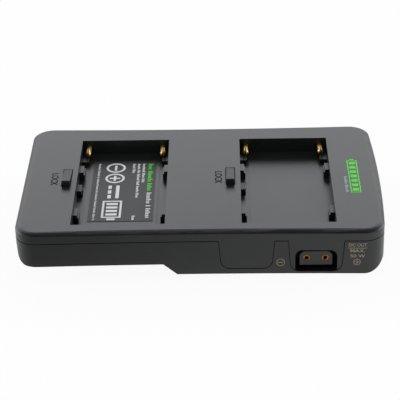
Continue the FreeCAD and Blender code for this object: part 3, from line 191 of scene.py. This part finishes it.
SLOT_FINISHES = {
    "shell_plastic": spark_eroded_plastic(
        "shell_charcoal", (0.01, 0.0105, 0.011), (0.0135, 0.014, 0.0145), roughness=0.34, grain=0.28),
    "button_plastic": spark_eroded_plastic(
        "button_charcoal", (0.01, 0.0105, 0.011), (0.014, 0.0145, 0.015), roughness=0.42, grain=0.24),
    "mount_plastic": spark_eroded_plastic(
        "mount_black", (0.011, 0.011, 0.0115), (0.016, 0.016, 0.0165), roughness=0.44, grain=0.34),
    "socket_plastic": spark_eroded_plastic(
        "socket_black", (0.016, 0.016, 0.0165), (0.022, 0.022, 0.0225), roughness=0.42, grain=0.2),
    "gold_plate": plated_metal(
        "gold_plate", (1.0, 0.74, 0.3), (0.92, 0.6, 0.18), roughness=0.36, grain=0.12),
    "contact_brass": plated_metal(
        "contact_brass", (0.74, 0.55, 0.27), (0.62, 0.44, 0.2), roughness=0.34, grain=0.2),
    "spring_steel": plated_metal(
        "spring_wire", (0.56, 0.57, 0.59), (0.46, 0.47, 0.49), roughness=0.3, grain=0.1),
    "screw_steel": plated_metal(
        "blackened_screw", (0.09, 0.09, 0.095), (0.055, 0.055, 0.06), roughness=0.38, grain=0.15),
    "circuit_board": solder_mask("green_solder_mask"),
    "transistor_case": spark_eroded_plastic(
        "transistor_case", (0.012, 0.012, 0.012), (0.02, 0.02, 0.02), roughness=0.5, grain=0.15),
    "capacitor_can": plated_metal(
        "capacitor_can", (0.68, 0.69, 0.71), (0.58, 0.59, 0.61), roughness=0.36, grain=0.3),
    "fuse_glass": capped_glass("capped_fuse", middle=-0.2, half_length=10.0, cap=5.0),
    "lead_red": soft_insulation("red_insulation", (0.3, 0.015, 0.015), (0.42, 0.03, 0.03)),
    "lead_black": soft_insulation("black_insulation", (0.012, 0.012, 0.012), (0.022, 0.022, 0.022)),
    "label_film": spark_eroded_plastic(
        "label_film", (0.016, 0.016, 0.0165), (0.021, 0.021, 0.0215), roughness=0.5, grain=0.2),
}
# Gold for the socket contacts, painted darker and browner in clouds: painted shade of contacts that sit deep
# in the socket, and its brighter orange tone is a painted glint.
gold_with_painted_shade = plated_metal(
    "gold_with_painted_shade", (0.95, 0.46, 0.07), (0.45, 0.16, 0.02), roughness=0.42, grain=0.5)

# Near-black, rough and weakly mirroring finish of the LOCK letters, darker than the shell around them.
dark_lock_letter_finish = printed_ink(
    "dark_lock_letter_finish", (0.004, 0.004, 0.004), (0.008, 0.008, 0.008), roughness=0.7, shine=0.12)
front_ink = printed_ink("front_ink", (0.32, 0.275, 0.21), (0.4, 0.35, 0.265), roughness=0.6, shine=0.3)
white_ink = printed_ink("label_white_ink", (0.7, 0.7, 0.7), (0.85, 0.85, 0.85), roughness=0.6, shine=0.2)
green_ink = printed_ink("green_ink", (0.09, 0.66, 0.045), (0.12, 0.76, 0.06), roughness=0.6, shine=0.2)
pale_ink = printed_ink("pale_ink", (0.33, 0.38, 0.44), (0.42, 0.48, 0.55), roughness=0.6, shine=0.2)

SOCKET_CONTACTS = ("power_negative_contact", "power_positive_contact")

for part in frame["record"]["subparts"]:
    node = frame["nodes"][part["node"]]
    finish = SLOT_FINISHES[part["material_slot"]]
    # The socket contacts get the gold with painted shade and painted glints.
    if part["node"] in SOCKET_CONTACTS:
        finish = gold_with_painted_shade
    if not node.material_slots:
        node.data.materials.append(finish)
    for held in node.material_slots:
        held.material = finish


# Modelling by hand

def select_only(*pieces):
    """Select these pieces and nothing else, with the first one active."""
    bpy.ops.object.select_all(action="DESELECT")
    for piece in pieces:
        piece.select_set(True)
    bpy.context.view_layer.objects.active = pieces[0]


def settle(piece):
    """Move the piece's place, turn and size into its mesh."""
    select_only(piece)
    bpy.ops.object.transform_apply(location=True, rotation=True, scale=True)


def apply_modifiers(piece):
    """Turn the piece's modifiers into mesh."""
    select_only(piece)
    for modifier in list(piece.modifiers):
        bpy.ops.object.modifier_apply(modifier=modifier.name)


def merge(name, pieces):
    """Join pieces of one print into a single named piece."""
    select_only(*pieces)
    bpy.ops.object.join()
    whole = bpy.context.object
    whole.name = name
    whole.data.name = name
    return whole


def open_at(piece, wanted):
    """Open the piece for editing with only the wanted corners selected."""
    select_only(piece)
    bpy.ops.object.mode_set(mode="EDIT")
    bpy.ops.mesh.select_all(action="DESELECT")
    bpy.ops.object.mode_set(mode="OBJECT")
    for corner in piece.data.vertices:
        corner.select = wanted(corner.co)
    bpy.ops.object.mode_set(mode="EDIT")


def thicken(piece):
    """Give flat print its thickness, outwards from the face it lies on."""
    wall = piece.modifiers.new("thickness", "SOLIDIFY")
    wall.thickness = INK_DEPTH * MM
    wall.offset = 1.0
    apply_modifiers(piece)


def finish_piece(piece, finish):
    """Give the piece its finish and fix it to the housing."""
    piece.data.materials.clear()
    piece.data.materials.append(finish)
    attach(piece, "housing")


def flat_word(text, height, width, weight):
    """A flat word centred on the origin; height is that of a capital, weight thickens its strokes."""
    bpy.ops.object.select_all(action="DESELECT")
    bpy.ops.object.text_add(location=(0, 0, 0))
    word = bpy.context.object
    word.data.body = text
    word.data.align_x = "CENTER"
    word.data.align_y = "CENTER"
    word.data.size = height * MM / LETTER_HEIGHT
    word.data.resolution_u = 4
    word.data.offset = weight * MM
    select_only(word)
    bpy.ops.object.convert(target="MESH")
    word = bpy.context.object
    word.scale.x = width * MM / word.dimensions.x
    settle(word)
    return word


def flat_bar(x, y, width, height):
    """A printed rectangle."""
    bpy.ops.object.select_all(action="DESELECT")
    bpy.ops.mesh.primitive_plane_add(size=1, location=(x * MM, y * MM, 0))
    bar = bpy.context.object
    bar.scale = (width * MM, height * MM, 1)
    settle(bar)
    return bar


def flat_cross(x, y, span, line):
    """A plus in one piece: a square with an arm drawn out of each side."""
    cross = flat_bar(x, y, line, line)
    middle = Vector((x, y, 0)) * MM
    arm = (span - line) / 2 * MM
    for quarter in range(4):
        way = Matrix.Rotation(math.radians(90 * quarter), 3, "Z") @ Vector((1, 0, 0))

        def on_side(corner):
            from_middle = corner - middle
            return from_middle.length < line * MM and from_middle.dot(way) > 0

        open_at(cross, on_side)
        bpy.ops.mesh.extrude_region_move(TRANSFORM_OT_translate={"value": way * arm})
        bpy.ops.object.mode_set(mode="OBJECT")
    return cross


def cut_to_outline(piece, line):
    """Cut a filled shape down to an outline of a given line width."""
    select_only(piece)
    bpy.ops.object.mode_set(mode="EDIT")
    bpy.ops.mesh.select_all(action="SELECT")
    bpy.ops.mesh.inset(thickness=line * MM)
    bpy.ops.mesh.delete(type="FACE")
    bpy.ops.object.mode_set(mode="OBJECT")


def flat_ring(x, y, radius, line):
    """A printed circle line."""
    bpy.ops.object.select_all(action="DESELECT")
    bpy.ops.mesh.primitive_circle_add(vertices=48, radius=radius * MM, fill_type="NGON",
                                      location=(x * MM, y * MM, 0))
    ring = bpy.context.object
    settle(ring)
    cut_to_outline(ring, line)
    return ring


def flat_frame(x, y, width, height, line):
    """A printed rectangle line."""
    bar = flat_bar(x, y, width, height)
    cut_to_outline(bar, line)
    return bar


def lay_on_top(print_piece, x, y, level, turn=-90):
    """Lay flat print on an upward face; turned by -90 degrees it reads from far to near."""
    print_piece.rotation_euler = (0, 0, math.radians(turn))
    print_piece.location = (x * MM, y * MM, level * MM)
    settle(print_piece)
    thicken(print_piece)


def press_on_front(print_piece, x, z):
    """Stand flat print up and press it on the curved front of the bottom cover."""
    print_piece.rotation_euler = (math.radians(90), 0, 0)
    print_piece.location = (x * MM, AHEAD_OF_FRONT * MM, z * MM)
    settle(print_piece)
    press = print_piece.modifiers.new("press", "SHRINKWRAP")
    press.target = frame["nodes"]["bottom_cover"]
    press.wrap_method = "PROJECT"
    press.use_project_x = False
    press.use_project_y = True
    press.use_project_z = False
    press.use_positive_direction = True
    press.use_negative_direction = False
    apply_modifiers(print_piece)
    thicken(print_piece)


# Words by the lock buttons

for side, x in (("left", -63.7), ("right", 7.1)):
    lock_word = flat_word("LOCK", height=3.0, width=10.8, weight=0.06)
    lock_word.name = f"{side}_lock_word"
    lay_on_top(lock_word, x, -0.4, TOP_FACE)
    finish_piece(lock_word, dark_lock_letter_finish)


# Signs and rating by the power socket

minus_sign = merge("minus_sign", [flat_ring(0, 0, 1.7, 0.24), flat_bar(0, 0, 2.2, 0.25)])
press_on_front(minus_sign, 32.5, 8.0)
finish_piece(minus_sign, front_ink)

plus_sign = merge("plus_sign", [flat_ring(0, 0, 1.5, 0.24), flat_cross(0, 0, 2.1, 0.25)])
press_on_front(plus_sign, 63.75, 8.2)
finish_piece(plus_sign, front_ink)

for name, text, z, height, width in (
    ("outlet_word", "DC OUT", 16.2, 1.45, 7.4),
    ("limit_word", "MAX.", 13.5, 1.4, 6.0),
    ("power_word", "50 W", 11.0, 1.4, 6.1),
):
    word = flat_word(text, height, width, weight=0.03)
    word.name = name
    press_on_front(word, RATING_MIDDLE, z)
    finish_piece(word, front_ink)

rating_rule = flat_bar(0, 0, 7.6, 0.25)
rating_rule.name = "rating_rule"
select_only(rating_rule)
bpy.ops.object.mode_set(mode="EDIT")
bpy.ops.mesh.select_all(action="SELECT")
bpy.ops.mesh.subdivide(number_cuts=12)
bpy.ops.object.mode_set(mode="OBJECT")
press_on_front(rating_rule, RATING_MIDDLE, 14.8)
finish_piece(rating_rule, front_ink)


# Charge symbol on the right end of the top cover

def charge_symbol(length, width, line, bars):
    """A cell outline with a cap and charge bars, drawn along X."""
    outline = flat_frame(0, 0, length, width, line)
    cap = flat_bar(length / 2 + line * 1.4, 0, line * 1.6, width * 0.42)
    pieces = [outline, cap]
    step = (length - line * 3) / bars
    for number in range(bars):
        middle = -length / 2 + line * 1.5 + step * (number + 0.5)
        pieces.append(flat_bar(middle, 0, step * 0.6, width - line * 4))
    return pieces


charge_mark = merge("charge_mark", charge_symbol(length=29.0, width=4.4, line=0.45, bars=7))
lay_on_top(charge_mark, 65.6, -0.9, TOP_FACE, turn=90)
finish_piece(charge_mark, green_ink)


# Print on the label

def letter_row(words, height):
    """A row of plain letter blocks from the origin along X; words gives the letters in each word."""
    blocks = []
    start = 0
    for number, letters in enumerate(words):
        for letter in range(letters):
            tall = letter == 0 or (letter * 5 + number * 3) % 4 == 0
            block_height = height if tall else height * 0.7
            block_y = (block_height - height) / 2
            blocks.append(flat_bar(start + height * 0.22, block_y, height * 0.44, block_height))
            start += height * 0.68
        start += height * 0.55
    return blocks


def polarity_symbol():
    """A minus ring and a plus ring side by side along X."""
    return [
        flat_ring(-4.8, 0, 4.3, 1.0), flat_bar(-4.8, 0, 4.6, 1.05),
        flat_ring(4.8, 0, 4.3, 1.0), flat_cross(4.8, 0, 4.6, 1.05),
    ]


def direct_current_symbol():
    """A long line over three dashes, along X."""
    dashes = [flat_bar(x, -1.7, 3.0, 1.5) for x in (-4.2, 0, 4.2)]
    return [flat_bar(0, 1.7, 11.4, 1.5)] + dashes


def lay_on_label(name, pieces, x, y, finish):
    """Join pieces of print and lay them on the label."""
    whole = merge(name, pieces)
    lay_on_top(whole, x, y, LABEL_FACE)
    finish_piece(whole, finish)


lay_on_label("label_title", letter_row([4, 7, 5], 2.1), -22.9, 24.9, green_ink)
lay_on_label("label_subtitle", letter_row([7, 1, 6], 2.1), -22.9, -1.6, white_ink)
lay_on_label("label_line_1", letter_row([9, 5, 4], 1.3), -25.9, 24.9, white_ink)
lay_on_label("label_line_2", letter_row([6, 3, 7, 4, 6, 5], 1.3), -28.1, 24.9, white_ink)
lay_on_label("label_line_3", letter_row([5, 4], 1.3), -30.3, 24.9, white_ink)
lay_on_label("label_code", letter_row([4], 1.4), -28.9, -21.6, white_ink)
lay_on_label("label_foot", letter_row([9, 7, 2, 8, 6, 3, 9, 8, 7, 5, 2], 1.0), -45.7, 25.2, white_ink)
lay_on_label("polarity_mark", polarity_symbol(), -38.4, 16.5, white_ink)
lay_on_label("direct_current_mark", direct_current_symbol(), -38.4, -0.6, white_ink)
lay_on_label("cell_mark", charge_symbol(length=14.6, width=8.4, line=0.9, bars=4), -38.4, -15.8, white_ink)


# Small line beside the charge symbol

charge_mark_line = merge("charge_mark_line", letter_row([7, 7], 1.4))
lay_on_top(charge_mark_line, 62.0, -1.2, TOP_FACE)
finish_piece(charge_mark_line, pale_ink)


# Screws of the housing and of the wedge

def cross_recess_screw(name, radius, height, shank, length):
    """A screw standing head down at the origin: rounded head, cross recess and plain shank."""
    sides = 40
    bpy.ops.object.select_all(action="DESELECT")
    bpy.ops.mesh.primitive_cylinder_add(vertices=sides, radius=radius * MM, depth=height * MM,
                                        location=(0, 0, -height * MM / 2))
    screw = bpy.context.object
    screw.name = name
    settle(screw)
    open_at(screw, lambda corner: corner.z < -height * MM * 0.9)
    bpy.ops.mesh.bevel(offset=height * MM * 0.35, segments=5, affect="EDGES")
    bpy.ops.object.mode_set(mode="OBJECT")
    open_at(screw, lambda corner: corner.z > -height * MM * 0.1)
    bpy.ops.mesh.inset(thickness=(radius - shank) * MM * math.cos(math.pi / sides))
    bpy.ops.mesh.extrude_region_move(TRANSFORM_OT_translate={"value": (0, 0, length * MM)})
    bpy.ops.object.mode_set(mode="OBJECT")

    for turn in (0, 90):
        bpy.ops.object.select_all(action="DESELECT")
        bpy.ops.mesh.primitive_cube_add(size=1, location=(0, 0, -height * MM))
        cutter = bpy.context.object
        cutter.scale = (radius * MM * 1.25, radius * MM * 0.26, height * MM * 1.1)
        cutter.rotation_euler = (0, 0, math.radians(turn))
        settle(cutter)
        recess = screw.modifiers.new("recess", "BOOLEAN")
        recess.object = cutter
        recess.operation = "DIFFERENCE"
        recess.solver = "EXACT"
        apply_modifiers(screw)
        bpy.data.objects.remove(cutter)
    select_only(screw)
    bpy.ops.object.shade_smooth_by_angle(angle=math.radians(35))
    return screw


def screw_set(name, node, places, seat, radius, height, shank, length):
    """Copies of one screw at each place, for one node of the parts list."""
    pattern = cross_recess_screw(name, radius, height, shank, length)
    copies = []
    for number, (x, y) in enumerate(places):
        copy = pattern.copy()
        copy.data = pattern.data.copy()
        bpy.context.collection.objects.link(copy)
        driven_home_at = 17 + 41 * number
        copy.rotation_euler = (0, 0, math.radians(driven_home_at))
        copy.location = (x * MM, y * MM, seat * MM)
        settle(copy)
        copies.append(copy)
    bpy.data.objects.remove(pattern)
    screws = merge(name, copies)
    finish_piece(screws, SLOT_FINISHES["screw_steel"])
    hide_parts(node)


housing_corners = [(x, y) for x in (-66.125, 66.125) for y in (-40.55, 40.55)]
wedge_corners = [(x, y) for x in (-48.525, -24.525) for y in (-17.0, 17.0)]
screw_set("housing_screw_heads", "housing_screws", housing_corners,
          seat=9.7, radius=2.2, height=1.9, shank=1.15, length=8.5)
screw_set("wedge_screw_heads", "v_lock_screws", wedge_corners,
          seat=2.3, radius=2.5, height=2.0, shank=1.4, length=8.7)


# Floor, light and camera

def lay_floor():
    """A pale table top that glows: white with a soft shadow where it is seen; its painted glow, as mirrored
    and as light on the object, is dimmer to the near left.
    """
    bpy.ops.object.select_all(action="DESELECT")
    bpy.ops.mesh.primitive_plane_add(size=6, location=(0, 0, -0.0001))
    table = bpy.context.object
    table.name = "table_top"
    paper = bpy.data.materials.new("table_paper")
    paper.use_nodes = True
    nodes = paper.node_tree.nodes
    nodes.clear()
    out = nodes.new("ShaderNodeOutputMaterial")
    matte = nodes.new("ShaderNodeBsdfDiffuse")
    matte.inputs["Color"].default_value = (0.92, 0.92, 0.92, 1)
    glow = nodes.new("ShaderNodeEmission")
    place = nodes.new("ShaderNodeTexCoord")
    apart = nodes.new("ShaderNodeSeparateXYZ")
    path = nodes.new("ShaderNodeLightPath")
    seen = nodes.new("ShaderNodeMath")
    seen.operation = "MAXIMUM"
    mirrored = nodes.new("ShaderNodeMath")
    mirrored.operation = "MAXIMUM"
    blend = nodes.new("ShaderNodeMixShader")
    links = paper.node_tree.links
    links.new(place.outputs["Object"], apart.inputs["Vector"])

    def fade(source, start, end, first, last):
        node = nodes.new("ShaderNodeMapRange")
        node.interpolation_type = "SMOOTHSTEP"
        node.inputs["From Min"].default_value = start
        node.inputs["From Max"].default_value = end
        node.inputs["To Min"].default_value = first
        node.inputs["To Max"].default_value = last
        links.new(source, node.inputs["Value"])
        return node

    # Painted falloff of the table's glow: dimmer in front of the object, most of all to the left.
    from_left = fade(apart.outputs["X"], -0.08, 0.08, 0.4, 1.0)
    to_back = fade(apart.outputs["Y"], -0.075, -0.03, 0.4, 1.0)
    links.new(from_left.outputs["Result"], to_back.inputs["To Min"])
    as_seen = fade(path.outputs["Is Camera Ray"], 0.0, 1.0, 0.4, 1.0)
    links.new(to_back.outputs["Result"], as_seen.inputs["To Min"])
    links.new(as_seen.outputs["Result"], glow.inputs["Strength"])

    links.new(path.outputs["Is Glossy Ray"], mirrored.inputs[0])
    links.new(path.outputs["Is Transmission Ray"], mirrored.inputs[1])
    links.new(path.outputs["Is Camera Ray"], seen.inputs[0])
    links.new(mirrored.outputs["Value"], seen.inputs[1])
    share = fade(seen.outputs["Value"], 0.0, 1.0, 0.3, 0.94)
    links.new(share.outputs["Result"], blend.inputs["Fac"])
    links.new(matte.outputs["BSDF"], blend.inputs[1])
    links.new(glow.outputs["Emission"], blend.inputs[2])
    links.new(blend.outputs["Shader"], out.inputs["Surface"])
    table.data.materials.append(paper)


def light_studio():
    """White backdrop: bright low behind and at the sides, dim overhead and on the camera's side."""
    world = bpy.data.worlds.new("studio")
    bpy.context.scene.world = world
    world.use_nodes = True
    nodes = world.node_tree.nodes
    links = world.node_tree.links
    nodes.clear()
    out = nodes.new("ShaderNodeOutputWorld")
    around = nodes.new("ShaderNodeTexCoord")
    apart = nodes.new("ShaderNodeSeparateXYZ")
    links.new(around.outputs["Generated"], apart.inputs["Vector"])

    def fade(source, start, end, first, last):
        node = nodes.new("ShaderNodeMapRange")
        node.interpolation_type = "SMOOTHSTEP"
        node.inputs["From Min"].default_value = start
        node.inputs["From Max"].default_value = end
        node.inputs["To Min"].default_value = first
        node.inputs["To Max"].default_value = last
        links.new(source, node.inputs["Value"])
        return node.outputs["Result"]

    def combine(operation, first, second):
        node = nodes.new("ShaderNodeMath")
        node.operation = operation
        links.new(first, node.inputs[0])
        links.new(second, node.inputs[1])
        return node.outputs["Value"]

    sideways = combine("ABSOLUTE", apart.outputs["X"], apart.outputs["X"])
    low = fade(apart.outputs["Z"], 0.5, 0.75, 1.0, 0.0)

    # The backdrop behind the object, dimmer at its foot and brighter at its two wings
    behind = fade(apart.outputs["Y"], -0.35, 0.25, 0.0, 1.0)
    skirting = fade(apart.outputs["Z"], 0.08, 0.45, 0.15, 1.0)
    wings = fade(sideways, 0.5, 0.85, 0.0, 1.65)
    backdrop = combine("MULTIPLY", combine("MULTIPLY", behind, low), combine("MAXIMUM", skirting, wings))

    # A weak glow on the camera's side, low in the middle and higher towards the corners
    ahead = fade(apart.outputs["Y"], -0.5, -0.15, 1.0, 0.0)
    to_corner = fade(sideways, 0.3, 0.55, 0.0, 0.2)
    corners = combine("MULTIPLY", to_corner, combine("MULTIPLY", ahead, low))
    in_front = fade(apart.outputs["Y"], -0.6, -0.2, 0.16, 0.0)
    lower = fade(apart.outputs["Z"], 0.26, 0.48, 1.0, 0.0)
    front_glow = combine("ADD", corners, combine("MULTIPLY", in_front, lower))

    level = nodes.new("ShaderNodeMapRange")
    level.clamp = False
    level.inputs["To Min"].default_value = 0.03
    level.inputs["To Max"].default_value = 2.5
    links.new(combine("ADD", backdrop, front_glow), level.inputs["Value"])
    studio = nodes.new("ShaderNodeBackground")
    studio.inputs["Color"].default_value = (0.97, 0.998, 1.015, 1)
    links.new(level.outputs["Result"], studio.inputs["Strength"])
    white = nodes.new("ShaderNodeBackground")
    white.inputs["Strength"].default_value = 1.0
    path = nodes.new("ShaderNodeLightPath")
    blend = nodes.new("ShaderNodeMixShader")
    links.new(path.outputs["Is Camera Ray"], blend.inputs["Fac"])
    links.new(studio.outputs["Background"], blend.inputs[1])
    links.new(white.outputs["Background"], blend.inputs[2])
    links.new(blend.outputs["Shader"], out.inputs["Surface"])


def hang_softbox():
    """A wide lamp overhead that fills the pockets and the print but shows in no reflection."""
    lamp = bpy.data.lights.new("ceiling_softbox", "AREA")
    lamp.shape = "SQUARE"
    lamp.size = 1.2
    lamp.energy = 5.0
    softbox = bpy.data.objects.new("ceiling_softbox", lamp)
    bpy.context.collection.objects.link(softbox)
    softbox.location = (0, -0.3, 1.2)
    softbox.rotation_euler = (math.radians(-14), 0, 0)
    softbox.visible_glossy = False
    softbox.visible_camera = False


def set_camera():
    """The photograph's view: from the front, 29 degrees up, with a slight roll."""
    eye = Vector((10.18, -606.92, 352.36)) * MM
    target = Vector((-0.556, -20.353, 22.7)) * MM
    roll = -0.0212
    ahead = (target - eye).normalized()
    across = ahead.cross(Vector((0, 0, 1))).normalized()
    upward = across.cross(ahead)
    right = across * math.cos(roll) + upward * math.sin(roll)
    up = upward * math.cos(roll) - across * math.sin(roll)
    lens = bpy.data.cameras.new("photo_camera")
    lens.sensor_width = 36
    lens.lens = 143.8
    lens.clip_start = 0.01
    camera = bpy.data.objects.new("photo_camera", lens)
    bpy.context.collection.objects.link(camera)
    turn = Matrix((right, up, -ahead)).transposed().to_4x4()
    camera.matrix_world = Matrix.Translation(eye) @ turn
    bpy.context.scene.camera = camera


lay_floor()
light_studio()
hang_softbox()
set_camera()
bpy.context.scene.view_settings.view_transform = "Standard"
